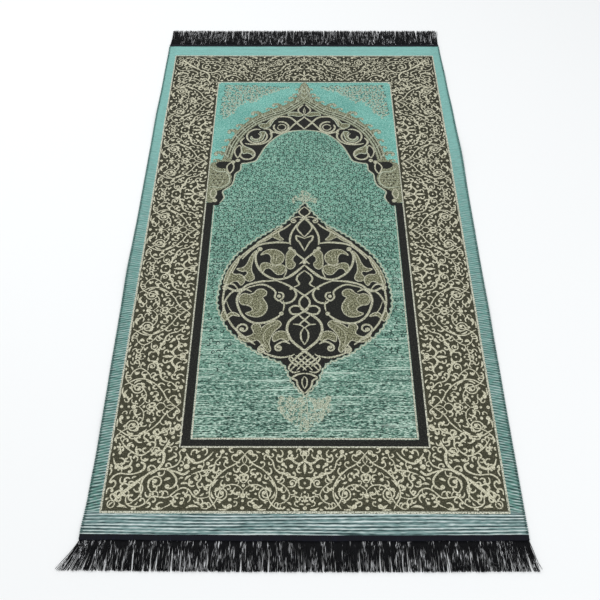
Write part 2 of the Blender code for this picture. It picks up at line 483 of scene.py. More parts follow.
class Drawing:
    # woven lines of one colour, drawn flat in millimetres and then laid on the cloth
    def __init__(self, name):
        self.curve = bpy.data.curves.new(name, "CURVE")
        self.curve.dimensions = "3D"
        self.curve.twist_mode = "Z_UP"
        self.curve.bevel_mode = "OBJECT"
        self.curve.bevel_object = yarnSection
        self.curve.use_fill_caps = True
        self.place = straight
        self.weight = 1.0  # how much heavier than charted its lines are
        self.touched = []  # every spot drawn so far, in the drawing's own places: x, y, half width

    def spline(self, rows, closed=False):
        # rows of x, y and half width
        spline = self.curve.splines.new("POLY")
        spline.points.add(len(rows) - 1)
        for point, (x, y, half) in zip(spline.points, rows):
            point.co = (*self.place(x, y), 0.0, 1.0)
            point.radius = max(half * self.weight, 0.12)
            self.touched.append((x, y, half))
        spline.use_cyclic_u = closed

    def line(self, points, width, closed=False, ends=0.55, step=2.4):
        count = len(points)
        knots = []
        for index, point in enumerate(points):
            atEnd = not closed and index in (0, count - 1)
            knots.append((*point, width / 2 * (ends if atEnd else 1.0)))
        self.spline(smoothPath(knots, closed, step), closed)

    def leaf(self, start, end, bend, width):
        # from its stalk to its tip, bowed to the left by bend
        away = Vector(end) - Vector(start)
        side = Vector((-away.y, away.x)).normalized()
        knots = []
        for share, half in ((0.0, 0.15), (0.22, 0.42), (0.5, 0.5), (0.8, 0.28), (1.0, 0.03)):
            spot = Vector(start) + away * share + side * bend * 4.0 * share * (1.0 - share)
            knots.append((spot.x, spot.y, width * half))
        self.spline(smoothPath(knots, step=2.8))

    def band(self, points):
        # a line with its own width at each point: x, y, width
        self.spline(smoothPath([(x, y, width / 2) for x, y, width in points]))

    def tendril(self, x, y, heading, reach, hand, width):
        # a comma-shaped shoot that winds up round its bud, to the left where hand is 1
        knots = [(x, y, width * 0.28)]
        steps = 8
        for index in range(steps):
            share = (index + 0.5) / steps
            heading += hand * (0.30 + 0.34 * share)
            stride = reach * 0.44 * (1.0 - 0.55 * share)
            x, y = x + stride * math.cos(heading), y + stride * math.sin(heading)
            knots.append((x, y, width * (0.36 + 0.2 * min(share * 2.0, 1.0))))
        self.spline(knots)
        self.bud(x, y, reach * 0.36)

    def vine(self, points, width, pitch=11.0, reach=5.4, hand=1, first=0.55, tip=0.0):
        # a stem with curled shoots to its left and right by turns, and a curl at its end where tip is not 0
        self.line(points, width)
        path = smoothPath(points, step=1.5)
        run, due = 0.0, pitch * first
        for before, here in zip(path, path[1:]):
            run += float(np.linalg.norm(here - before))
            heading = math.atan2(here[1] - before[1], here[0] - before[0])
            if run >= due:
                self.tendril(here[0], here[1], heading + hand * 0.3, reach, hand, width * 0.95)
                hand = -hand
                due += pitch
        if tip:
            self.tendril(path[-1][0], path[-1][1], heading, abs(tip), math.copysign(1, tip), width)

    def bud(self, x, y, radius):
        self.spline([(x + radius * self.weight * reach, y, radius * half)
                     for reach, half in ((-0.98, 0.3), (-0.62, 0.8), (0.0, 1.0), (0.62, 0.8), (0.98, 0.3))])

    def coil(self, stem, radius, hand, turns, width, bud=0.0):
        # a stem that winds up at its end, to the left where hand is 1 and to the right where it is -1
        (beforeX, beforeY), (lastX, lastY) = stem[-2:]
        heading = math.atan2(lastY - beforeY, lastX - beforeX)
        centreX = lastX - hand * radius * math.sin(heading)
        centreY = lastY + hand * radius * math.cos(heading)
        start = math.atan2(lastY - centreY, lastX - centreX)
        steps = max(4, round(turns * 8))
        knots = [(*point, width * 0.5) for point in stem]
        knots[0] = (*stem[0], width * 0.3)
        for index in range(1, steps + 1):
            share = index / steps
            reach = radius * (1.0 - 0.6 * share)
            angle = start + hand * 2.0 * math.pi * turns * share
            knots.append((centreX + reach * math.cos(angle), centreY + reach * math.sin(angle), width * 0.5))
        self.spline(smoothPath(knots, step=2.2))
        if bud:
            x, y, _ = knots[-1]
            self.bud((x * 2 + centreX) / 3, (y * 2 + centreY) / 3, bud)

    def mesh(self, level, rise, sink=0.03):
        # the section becomes a low float: its crest is rise above the level and its foot sink below it
        shape = curveMesh(self.curve.name, self.curve, 0.001)
        flat = np.empty(len(shape.vertices) * 3)
        shape.vertices.foreach_get("co", flat)
        flat = flat.reshape(-1, 3)
        flat[:, 2] = np.where(np.abs(flat[:, 2]) > 0.02, rise, -sink)
        shape.vertices.foreach_set("co", flat.ravel())
        settle(shape, level)
        shape.shade_smooth()
        shape.set_sharp_from_angle(angle=math.radians(40.0))
        return shape


def sideways(side):
    # the place function of a half that is drawn on this side of the rug's middle
    def place(x, y):
        return side * x, y
    return place


def mirrored(points):
    # a closed outline from its right half, listed from the top to the bottom
    return list(points) + [(-x, y) for x, y in reversed(points) if abs(x) > 0.01]


def plate(name, outlines, level, thickness):
    # filled woven areas: the outlines filled, cut along the cloth's own lines and laid on it
    curve = bpy.data.curves.new(name, "CURVE")
    curve.dimensions = "2D"
    curve.fill_mode = "BOTH"
    curve.extrude = thickness / 2
    for outline in outlines:
        spline = curve.splines.new("POLY")
        spline.points.add(len(outline) - 1)
        for point, spot in zip(spline.points, outline):
            point.co = (spot[0], spot[1], 0.0, 1.0)
        spline.use_cyclic_u = True
    shape = curveMesh(name, curve, 0.01)
    body = bmesh.new()
    body.from_mesh(shape)
    bmesh.ops.dissolve_limit(body, angle_limit=0.001, verts=[],
                             edges=[edge for edge in body.edges if edge.is_manifold
                             and edge.calc_face_angle(1.0) < 0.01])
    for axis, lines in ((0, columns), (1, rows)):
        low = min(vert.co[axis] for vert in body.verts)
        high = max(vert.co[axis] for vert in body.verts)
        for at in lines:
            if low < at < high:
                spot, facing = Vector((0, 0, 0)), Vector((0, 0, 0))
                spot[axis] = at
                facing[axis] = 1.0
                everything = body.verts[:] + body.edges[:] + body.faces[:]
                bmesh.ops.bisect_plane(body, geom=everything, dist=0.001, plane_co=spot, plane_no=facing)
    bmesh.ops.recalc_face_normals(body, faces=body.faces)
    body.to_mesh(shape)
    body.free()
    settle(shape, level - thickness / 2)
    return shape


def makeCloth():
    body = bmesh.new()
    bmesh.ops.create_grid(body, x_segments=len(columns) - 1, y_segments=len(rows) - 1, size=0.5)
    for vert in body.verts:
        column = round((vert.co.x + 0.5) * (len(columns) - 1))
        row = round((vert.co.y + 0.5) * (len(rows) - 1))
        vert.co = (columns[column], rows[row], 0.0)
    for face in body.faces:
        middle = face.calc_center_median()
        inBorder = abs(middle.x) < border["x"] and abs(middle.y) < border["y"]
        inField = abs(middle.x) < border["innerX"] and border["innerNear"] < middle.y < border["innerFar"]
        inFrame = abs(middle.x) > frameBand["innerX"] or middle.y < frameBand["innerNear"]
        if not inBorder:
            face.material_index = 0
        elif not inField:
            face.material_index = 1
        elif inFrame and middle.y < frameBand["top"]:
            face.material_index = 2
        else:
            face.material_index = 3
    for vert in body.verts:
        vert.co.z = float(bandRibs(np.array([vert.co.x]), np.array([vert.co.y]))[0])
    mesh = bpy.data.meshes.new("rugCloth")
    body.to_mesh(mesh)
    body.free()
    settle(mesh, 0.0)
    mesh.shade_smooth()
    for material in (bandTeal, oliveGround, blackGround, fieldTeal):
        mesh.materials.append(material)
    piece = keep("rugCloth", mesh, None)
    solid = piece.modifiers.new("Thickness", "SOLIDIFY")
    solid.thickness = cloth["thickness"] * mm
    solid.offset = -1.0
    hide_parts("rug_cloth")
    return piece


print("cloth")
rugCloth = makeCloth()


def archUnit(yarn):
    # half of the pointed-arch motif: u from its axis, v from the border's inner edge
    yarn.line([(0, 13), (14, 29), (29, 38), (43, 52), (52, 69), (52, 85), (45, 97), (41, 104)], 2.6)
    yarn.coil([(0, 13), (6, 7)], 4.6, 1, 0.9, 2.3, 3.0)
    yarn.tendril(12, 26, 0.1, 9.0, -1, 2.4)
    yarn.tendril(26, 36, 0.1, 7.0, -1, 2.2)
    # the stem from the inner edge into the palmette
    yarn.vine([(38, 8), (40, 18), (46, 25), (49, 36), (56, 45)], 2.4, 13, 5.0, -1, tip=0)
    yarn.bud(37, 8, 4.4)
    yarn.bud(30, 12, 2.4)
    # along the axis: a diamond, then two strands that swing round each other
    yarn.line([(0, 15), (3.6, 22), (0, 30)], 1.9)
    yarn.line([(0, 30), (6, 34), (7, 41), (1, 46), (-6, 50), (-5, 58), (0, 62)], 2.2)
    yarn.tendril(5, 34, 0.4, 6.2, -1, 2.1)
    yarn.tendril(2, 46, 0.2, 7.4, 1, 2.2)
    yarn.tendril(4, 57, -0.3, 6.0, -1, 2.0)
    yarn.bud(25, 56, 3.6)
    yarn.bud(22, 46, 3.0)
    yarn.line([(25, 56), (29, 50), (25, 44)], 2.0)
    # the second round inside the arch, with the spiral
    yarn.vine([(64, 103), (56, 104), (46, 97), (40, 87), (36, 74), (24, 65), (9, 66), (0, 74)], 2.2, 15, 5.0,
              1, 0.9)
    yarn.coil([(40, 92), (34, 91)], 11.5, 1, 1.3, 2.6, 3.8)
    yarn.tendril(14, 87, 2.6, 6.0, 1, 2.2)
    yarn.leaf((49, 68), (40, 56), 2, 4.4)
    yarn.leaf((46, 76), (36, 66), -2, 4.4)
    yarn.leaf((44, 88), (50, 76), 2, 4.0)
    # at the outer edge
    yarn.bud(20, 100, 4.4)
    yarn.leaf((18, 102), (32, 97), 2, 5)
    yarn.tendril(14, 100, 3.0, 5.4, 1, 2.2)
    yarn.leaf((34, 106), (22, 107), 1, 3.4)
    yarn.tendril(36, 104, 1.0, 4.6, 1, 2.0)
    # between the arch and the palmette
    yarn.leaf((54, 60), (60, 50), 2, 4.4)
    yarn.leaf((55, 74), (63, 66), 2, 4.4)


def archAxis(yarn):
    yarn.bud(0, 66, 3.0)
    yarn.bud(0, 83, 4.6)
    yarn.bud(0, 91, 2.6)
    yarn.bud(0, 103, 3.6)
    yarn.bud(0, 52, 2.2)


def palmetteUnit(yarn):
    # half of the palmette motif between two arches
    yarn.coil([(0, 24), (3, 18), (3, 12)], 5.8, -1, 1.1, 2.2, 3.2)
    yarn.band([(0, 24, 3), (8, 29, 4.6), (15, 27, 4.2), (22, 21, 4.0), (29, 20, 3.2), (33, 23, 1.2)])
    yarn.leaf((2, 26), (12, 37), -2, 4.6)
    yarn.bud(24, 9, 4.4)
    yarn.tendril(24, 12, 0.2, 4.6, 1, 2.2)
    yarn.bud(35, 30, 3.8)
    yarn.leaf((35, 32), (29, 38), 2, 4)
    # the thick stem that runs lengthwise, with its curls
    yarn.band([(48, 38, 2.2), (41, 44, 3.6), (33, 46, 4.4), (25, 50, 4.2), (17, 53, 3.6), (10, 60, 3.0),
               (9, 68, 1.4)])
    yarn.tendril(42, 44, 2.4, 6.4, 1, 2.6)
    yarn.tendril(33, 46, -2.4, 6.6, -1, 2.6)
    yarn.tendril(26, 50, 2.2, 7.4, 1, 2.8)
    yarn.tendril(18, 53, -2.6, 6.4, -1, 2.6)
    yarn.tendril(36, 47, 1.9, 8.0, -1, 2.4)
    yarn.leaf((12, 58), (1, 54), 2, 5)
    yarn.leaf((10, 66), (1, 70), -2, 5)
    # the outer curls
    yarn.vine([(44, 60), (36, 64), (28, 72), (24, 82), (30, 92), (40, 96)], 2.3, 11, 6.0, 1, 0.5, tip=5)
    yarn.coil([(28, 68), (20, 68)], 6.5, 1, 0.95, 2.4, 3.2)
    yarn.line([(0, 84), (8, 86), (17, 83), (22, 86)], 2.4)
    yarn.tendril(8, 86, -2.6, 5.0, -1, 2.2)
    yarn.tendril(14, 84, 1.0, 5.6, 1, 2.2)
    yarn.tendril(4, 78, 0.6, 5.0, 1, 2.0)
    yarn.bud(34, 86, 3.6)
    yarn.leaf((46, 70), (36, 78), 2, 4.6)
    yarn.tendril(10, 100, 0.2, 5.6, -1, 2.2)
    yarn.tendril(24, 104, 0.0, 4.8, 1, 2.2)
    yarn.leaf((8, 106), (22, 101), 2, 4.2)
    yarn.bud(14, 78, 2.6)


def palmetteAxis(yarn):
    yarn.leaf((0, 28), (0, 47), 0, 6.4)
    yarn.bud(0, 24, 3.4)
    yarn.bud(0, 92, 2.2)
    yarn.bud(0, 103, 3.6)
    yarn.bud(0, 62, 2.2)
    yarn.bud(0, 77, 2.4)


def cornerBlock(yarn):
    # the corner's scrolls: x from the border's outer side edge, y up from its outer end edge
    yarn.line([(12, 4), (17, 7), (17, 13), (12, 16), (7, 13), (7, 7)], 2.0, closed=True)
    yarn.leaf((9, 7), (15, 13), 1, 3.4)
    yarn.leaf((22, 6), (38, 4), 2, 4.6)
    yarn.leaf((24, 12), (34, 8), -2, 3.6)
    # the feathered leaf
    yarn.band([(16, 15, 2.5), (24, 23, 7.0), (34, 33, 6.4), (44, 42, 7.0), (53, 50, 4.4), (58, 55, 1.4)])
    for x, y, heading, reach, hand in ((20, 20, 2.4, 8.0, -1), (28, 28, 2.2, 8.5, 1), (37, 38, 2.0, 9.0, 1),
                                       (24, 24, -0.6, 6.5, -1),
                                       (34, 33, -0.4, 7.0, -1), (45, 42, 1.8, 6.0, 1),
                                       (14, 17, 3.0, 6.0, -1)):
        yarn.tendril(x, y, heading, reach, hand, 3.0)
    yarn.line([(48, 46), (57, 40), (58, 29), (52, 19), (44, 14)], 2.8)
    yarn.tendril(46, 15, 3.4, 7.0, -1, 2.8)
    yarn.band([(4, 44, 2), (8, 53, 3.2), (18, 59, 2.8), (34, 58, 2.4), (46, 60, 3.0), (56, 66, 4.4),
               (57, 74, 4.4), (50, 78, 3.6)])
    yarn.bud(46, 73, 3.8)
    yarn.tendril(18, 58, 0.4, 6.0, 1, 2.2)
    yarn.band([(5, 85, 1.6), (9, 75, 3.6), (20, 68, 5.0), (31, 71, 4.6), (35, 80, 3.2), (30, 88, 1.4)])
    yarn.tendril(24, 69, 0.9, 9.0, -1, 3.0)
    yarn.tendril(22, 68, 1.6, 8.0, 1, 3.0)
    # the garland along the end
    yarn.vine([(34, 24), (35, 13), (42, 7), (55, 6), (66, 12), (75, 22), (88, 21), (100, 21), (112, 31),
               (122, 36), (132, 33),
               (140, 23), (150, 19), (162, 21)], 2.6, 15, 6.2, 1, 0.8, tip=5)
    # the round scroll and what it holds
    yarn.band([(58, 20, 2.0), (55, 36, 3.2), (57, 50, 3.8), (66, 60, 3.6), (80, 66, 3.8), (94, 66, 3.4),
               (105, 58, 3.8),
               (111, 48, 3.8), (108, 38, 3.2), (98, 34, 2.4)])
    yarn.bud(97, 38, 4.4)
    yarn.coil([(72, 30), (67, 37), (68, 46)], 11.0, -1, 1.1, 2.8, 4.2)
    yarn.tendril(66, 42, 2.0, 7.0, -1, 2.4)
    yarn.tendril(70, 30, -0.6, 8.0, 1, 2.6)
    yarn.tendril(90, 64, -1.2, 7.0, -1, 2.6)
    yarn.tendril(84, 22, 1.2, 7.0, 1, 2.4)
    yarn.tendril(100, 24, 1.4, 6.5, 1, 2.4)
    # the thick stems above it
    yarn.band([(68, 58, 3.0), (78, 66, 5.0), (86, 78, 5.6), (86, 90, 5.0), (84, 97, 4.6), (89, 107, 4.4),
               (92, 117, 1.6)])
    yarn.line([(84, 66), (99, 69), (110, 75), (114, 86), (111, 95), (116, 101)], 2.8)
    yarn.bud(118, 99, 4.0)
    yarn.band([(94, 66, 2.4), (109, 62, 3.6), (121, 58, 4.6), (130, 64, 4.0)])
    yarn.bud(125, 71, 5.4)
    yarn.tendril(76, 66, 1.7, 8.5, 1, 3.0)
    yarn.tendril(87, 84, 0.9, 8.0, 1, 3.0)
    yarn.tendril(84, 96, 2.2, 8.0, 1, 3.0)
    yarn.tendril(100, 69, 1.3, 6.5, 1, 2.6)
    yarn.tendril(112, 80, 0.4, 6.0, -1, 2.4)
    yarn.tendril(88, 104, 0.6, 7.0, -1, 2.6)
    # leaves towards the sides and up the side
    yarn.vine([(66, 104), (60, 96), (50, 90), (40, 92), (30, 98), (20, 106), (12, 116)], 3.0, 8.5, 6.2, 1,
              0.4, tip=-5)
    yarn.vine([(66, 96), (70, 108), (68, 120)], 3.2, 8, 6.4, -1, 0.5, tip=5)
    yarn.leaf((62, 84), (50, 82), 2, 5.5)
    yarn.leaf((64, 90), (74, 100), -2, 5.5)
    yarn.leaf((44, 92), (40, 106), 2, 5.5)
    yarn.leaf((24, 104), (32, 112), 2, 4.6)
    yarn.tendril(10, 98, 1.6, 6.0, -1, 2.4)
    yarn.bud(14, 94, 3.2)
    yarn.vine([(68, 112), (73, 126), (82, 134), (92, 137), (104, 134), (109, 138)], 2.8, 9, 6.0, -1, 0.7)
    yarn.bud(104, 142, 4.0)
    yarn.bud(98, 121, 3.4)
    yarn.tendril(98, 102, 1.2, 5.5, -1, 2.2)
    # towards the first palmette of the end
    yarn.band([(122, 94, 1.6), (128, 84, 4.6), (138, 77, 4.4), (150, 80, 3.6), (160, 88, 3.2),
               (166, 96, 1.6)])
    yarn.tendril(138, 78, 1.7, 7.5, 1, 2.8)
    yarn.tendril(150, 80, -0.6, 7.0, -1, 2.6)
    yarn.vine([(134, 58), (148, 63), (162, 65), (176, 60)], 2.8, 9, 6.0, -1, 0.5, tip=4)
    yarn.vine([(146, 62), (150, 52), (144, 42), (150, 32)], 2.8, 9, 6.0, 1, 0.5)
    yarn.bud(159, 76, 3.8)
    yarn.leaf((124, 48), (134, 56), 2, 4.6)
    yarn.leaf((118, 42), (130, 42), 2, 4.6)
    yarn.bud(160, 38, 3.4)
    yarn.leaf((76, 4), (96, 5), -3, 4.4)
    yarn.line([(96, 5), (106, 11), (110, 24)], 2.6)
    yarn.leaf((130, 4), (150, 5), 3, 4.6)
    yarn.bud(122, 12, 3.4)
    yarn.tendril(122, 12, 0.2, 5.0, 1, 2.2)


fillers = {"least": 4.1, "most": 7.0, "grid": 1.6, "seed": 7}


def fillGaps(yarn, box, mirrors):
    # the widest places still empty get a comma, a leaf or a bud as large as their room
    rng = random.Random(fillers["seed"])
    lowX, lowY, highX, highY = box
    acrossStops = np.arange(lowX, highX, fillers["grid"])
    alongStops = np.arange(lowY, highY, fillers["grid"])
    spots = np.array([(x, y) for x in acrossStops for y in alongStops])
    room = np.minimum(np.minimum(spots[:, 1] - lowY, highY - spots[:, 1]) + 2.0, fillers["most"])

    def takeUp(x, y, half):
        for atX in [x] + [2 * mirror - x for mirror in mirrors]:
            room[:] = np.minimum(room, np.hypot(spots[:, 0] - atX, spots[:, 1] - y) - half)
    for x, y, half in list(yarn.touched):
        takeUp(x, y, half)
    while room.max() > fillers["least"]:
        best = int(room.argmax())
        (x, y), reach = spots[best], float(room[best])
        heading = rng.uniform(0.0, 2.0 * math.pi)
        kind = rng.random()
        across, up = math.cos(heading) * reach, math.sin(heading) * reach
        if kind < 0.62:
            hand = rng.choice((-1, 1))
            yarn.tendril(x - across * 0.5 + hand * up * 0.45, y - up * 0.5 - hand * across * 0.45, heading,
                         reach * 1.1, hand, 3.2)
        elif kind < 0.9:
            yarn.leaf((x - across * 0.8, y - up * 0.8), (x + across * 0.8, y + up * 0.8),
                      rng.choice((-1, 1)) * 1.2, reach * 0.75)
        else:
            yarn.bud(x, y, reach * 0.55)
        takeUp(x, y, reach * 0.8)


def halfRepeat(yarn, place, whole=True):
    # from a pointed arch's axis (0) to the next palmette's (97.65), or only the arch's half
    reach = border["repeat"] / 2
    yarn.touched.clear()
    yarn.place = place
    archUnit(yarn)
    if whole:
        yarn.place = lambda u, v: place(reach - u, v)
        archSpots = yarn.touched[:]
        yarn.touched.clear()
        palmetteUnit(yarn)
        yarn.touched = archSpots + [(reach - u, v, half) for u, v, half in yarn.touched]
        yarn.place = place
    yarn.touched += [(0.0, v, 3.0) for v in (52, 66, 83, 91, 103)] + [(reach, v, 2.6) for v in (26, 34, 42,
                                                                                                62, 77, 92,
                                                                                                103)]
    fillGaps(yarn, (2.5, 3.0, reach - 2.5 if whole else reach / 2 - 2, 105.0), (0.0, reach))


def sidePlace(side, axisY, way):
    stretch = (border["x"] - border["innerX"]) / border["depth"]

    def place(u, v):
        return side * (border["innerX"] + min(v, border["lastRow"]) * stretch), axisY + way * u
    return place


def endPlace(end, axisX, way):
    inner = border["innerFar"] if end > 0 else border["innerNear"]
    stretch = (border["y"] - abs(inner)) / border["depth"]

    def place(u, v):
        return axisX + way * u, inner + end * min(v, border["lastRow"]) * stretch
    return place


def cornerPlace(side, end):
    squeeze = 1.0 if end < 0 else 0.93

    def place(x, y):
        return side * (border["x"] - 1 - max(x, 2.5)), end * (border["y"] - 1 - max(y, 2.5) * squeeze)
    return place


def makeBorder():
    repeat = border["repeat"]
    for side, name in ((-1, "borderScrollsLeft"), (1, "borderScrollsRight")):
        yarn = Drawing(name)
        yarn.weight = border["weight"]
        for index in (-2, -1, 0, 1, 2):
            axisY = border["middleY"] + repeat * index
            for way in (-1, 1):
                halfRepeat(yarn, sidePlace(side, axisY, way), whole=abs(index + way) < 3)
            archAxis(yarn)
        for index in (-1.5, -0.5, 0.5, 1.5):
            yarn.place = sidePlace(side, border["middleY"] + repeat * index, 1)
            palmetteAxis(yarn)
        keep(name, yarn.mesh(*border["scrolls"]), creamYarn)
    for end, name in ((-1, "borderScrollsNear"), (1, "borderScrollsFar")):
        yarn = Drawing(name)
        yarn.weight = border["farWeight" if end > 0 else "weight"]
        for side in (-1, 1):
            halfRepeat(yarn, endPlace(end, side * repeat / 2, -side))
            halfRepeat(yarn, endPlace(end, side * repeat / 2, side), whole=False)
            archAxis(yarn)
            yarn.touched.clear()
            yarn.place = cornerPlace(side, end)
            cornerBlock(yarn)
            fillGaps(yarn, (3.0, 3.0, 108.0, 127.0), ())
            yarn.touched += [(x, y, 2.0) for x in (172, 173) for y in range(0, 110, 3)]
            fillGaps(yarn, (108.0, 3.0, 170.0, 100.0), ())
        yarn.place = endPlace(end, 0.0, 1)
        palmetteAxis(yarn)
        keep(name, yarn.mesh(*border["scrolls"]), creamYarn)


def rectangle(yarn, x, near, far, width):
    yarn.line([(-x, near), (-x, near), (x, near), (x, near), (x, far), (x, far), (-x, far), (-x, far)],
              width, closed=True, step=8.0)


def makeLines():
    yarn = Drawing("borderLines")
    rectangle(yarn, border["x"] + 1.2, -border["y"] - 1.4, border["y"] + 1.2, 3.4)
    rectangle(yarn, border["innerX"] - 0.4, border["innerNear"] + 0.2, border["innerFar"] - 1.6, 2.8)
    top = frameBand["top"] - 6
    x, near = frameBand["innerX"] - 1.8, frameBand["innerNear"] + 1.8
    yarn.line([(-x, top), (-x, near), (-x, near), (x, near), (x, near), (x, top)], 3.0, step=8.0)
    keep("borderLines", yarn.mesh(*border["lines"]), lineYarn)


print("border")
makeBorder()
makeLines()


archOuter = [(0, 388), (0, 388), (20, 368), (40, 351), (70, 338), (100, 320), (125, 295), (141, 268),
             (152, 240), (159, 205),
             (162, 197), (184, 197), (192, 188), (184, 178), (168, 176), (162, 168), (155, 150), (158, 130),
             (172, 117),
             (184, 110), (186, 96), (190, 80), (202, 78), (202, 78), (202, 70), (202, 70), (180, 70)]
archInner = [(176, 76), (168, 92), (172, 108), (164, 118), (154, 128), (150, 142), (148, 160), (138, 172),
             (136, 190),
             (124, 193), (106, 200), (98, 216), (88, 240), (72, 264), (52, 283), (30, 293), (0, 297)]
tanOuter = [(0, 464), (6, 458), (11, 446), (15, 432), (12, 420), (18, 412), (22, 402), (34, 392), (46, 382),
            (62, 374), (88, 358),
            (112, 343), (130, 325), (148, 300), (162, 270), (173, 238), (180, 204), (196, 196), (204, 182),
            (204, 80), (204, 80)]


def halfShape(outer, inner, step):
    right = smoothPath([(x, y) for x, y in outer], step=step) + smoothPath(inner, step=step)
    points = [(float(x), float(y)) for x, y in right]
    return points + [(-x, y) for x, y in reversed(points) if abs(x) > 0.5]


def archCrests(leaves, pale):
    # flames with curled tips along the tan edge's outer side: x, y, heading, reach
    for x, y, heading, reach in ((12, 434, 1.3, 4.6), (16, 414, 1.3, 6.0), (24, 401, 1.4, 7.0),
                                 (38, 388, 1.5, 5.0),
                                 (58, 375, 1.4, 9.0), (78, 363, 1.4, 6.0), (104, 347, 1.3, 9.6),
                                 (124, 330, 1.3, 6.0),
                                 (142, 308, 1.2, 6.6), (154, 286, 1.3, 10.0), (166, 260, 1.2, 6.0),
                                 (172, 238, 1.2, 5.6),
                                 (180, 216, 1.3, 9.6), (190, 198, 1.3, 4.6)):
        leaves.tendril(x, y, heading + 0.35, reach + 0.6, -1, reach * 0.8)
        leaves.leaf((x - 7, y + 4), (x + 4, y + reach * 1.6), -2, 8)
        pale.tendril(x + 1.5, y + 2, heading + 0.3, reach, -1, 1.6)
    for x, y in ((0, 440), (0, 424), (0, 408), (12, 396), (24, 380), (44, 368), (66, 356), (90, 342),
                 (112, 324), (134, 300),
                 (148, 276), (160, 246), (168, 216)):
        pale.leaf((x + 3, y - 3), (x + 9, y + 8), 1, 2.6)
        pale.leaf((x - 2, y - 7), (x + 2, y + 2), -1, 2.2)


def ring(x, y, radius, begin=0.0, turn=2.0 * math.pi, inward=0.0):
    # points of an arc round x, y, ending nearer to it by inward
    steps = max(5, round(abs(turn) * 2.2))
    points = []
    for index in range(steps + 1):
        share = index / steps
        reach = radius - inward * share
        points.append((x + reach * math.cos(begin + turn * share),
                       y + reach * math.sin(begin + turn * share)))
    return points


# the arch's leaves, right half: the wings of its middle flower, the leaf over the first ring,
# the crescent in the second and the leaf in the third
archLeafShapes = (
    [(3, 347), (12, 355), (24, 357), (34, 354), (37, 346), (26, 346), (14, 343)],
    [(62, 338), (72, 336), (80, 328), (86, 319), (96, 318), (103, 314), (98, 305), (88, 303), (79, 308),
     (74, 318), (70, 328)],
    [(88, 291), (95, 292), (100, 290), (96, 282), (98, 272), (106, 265), (115, 268), (119, 276), (120, 269),
     (114, 262),
     (104, 260), (94, 266), (90, 278)],
    [(137, 246), (128, 242), (117, 236), (110, 226), (112, 216), (118, 221), (126, 224), (134, 222),
     (138, 232)],
)


def archBandFigures(straps):
    straps.line([(0, 300), (14, 317), (24, 331), (35, 340), (52, 342), (66, 338), (76, 327), (78, 312)], 5.2)
    straps.line([(-2, 342), (12, 328), (24, 314), (34, 300), (42, 290), (56, 286), (68, 290), (78, 284)],
                4.8)
    straps.line([(0, 346), (11, 356), (14, 366), (8, 376), (2, 382)], 4.0)
    straps.line([(0, 348), (2, 360), (0, 372)], 2.0)
    straps.line(ring(53, 307, 17.6, 1.2, 5.6, 1.5), 4.8)
    straps.line(ring(51, 306, 9.4, 0.4, 6.0), 3.0)
    straps.line([(58, 286), (72, 292), (80, 300), (92, 300)], 4.6)
    straps.line(ring(106, 277, 22.5, 1.9, -5.6), 4.6)
    straps.line(ring(108, 277, 9.6, 2.0, 4.4), 2.4)
    straps.line([(78, 300), (74, 284), (74, 272), (82, 260), (96, 252), (118, 251), (132, 254)], 4.6)
    straps.line([(134, 272), (141, 262), (139, 252), (130, 242)], 5.0)
    straps.line(ring(125, 220, 16.0, 1.3, 5.2), 4.8)
    straps.line([(143, 248), (152, 237), (153, 224), (146, 210), (139, 222), (139, 236)], 3.4, closed=True)
    straps.bud(145, 201, 5.6)
    straps.bud(155, 196, 5.6)
    straps.line([(158, 195), (167, 184), (166, 172), (161, 162), (154, 172), (153, 185)], 3.4, closed=True)
    straps.line([(191, 117), (198, 105), (192, 90), (185, 103)], 3.4, closed=True)
    straps.bud(187, 84, 5.6)


# areas: top over the cloth, thickness. Lines: level over the cloth, rise
archLayers = {
    "tanEdge": (0.06, 0.25),
    "band": (0.14, 0.3),
    "leaves": (0.3, 0.12),
    "outline": (0.29, 0.14),
    "ropes": (0.1, 0.12),
    "straps": (0.29, 0.2),
    "crests": (0.06, 0.2),
}


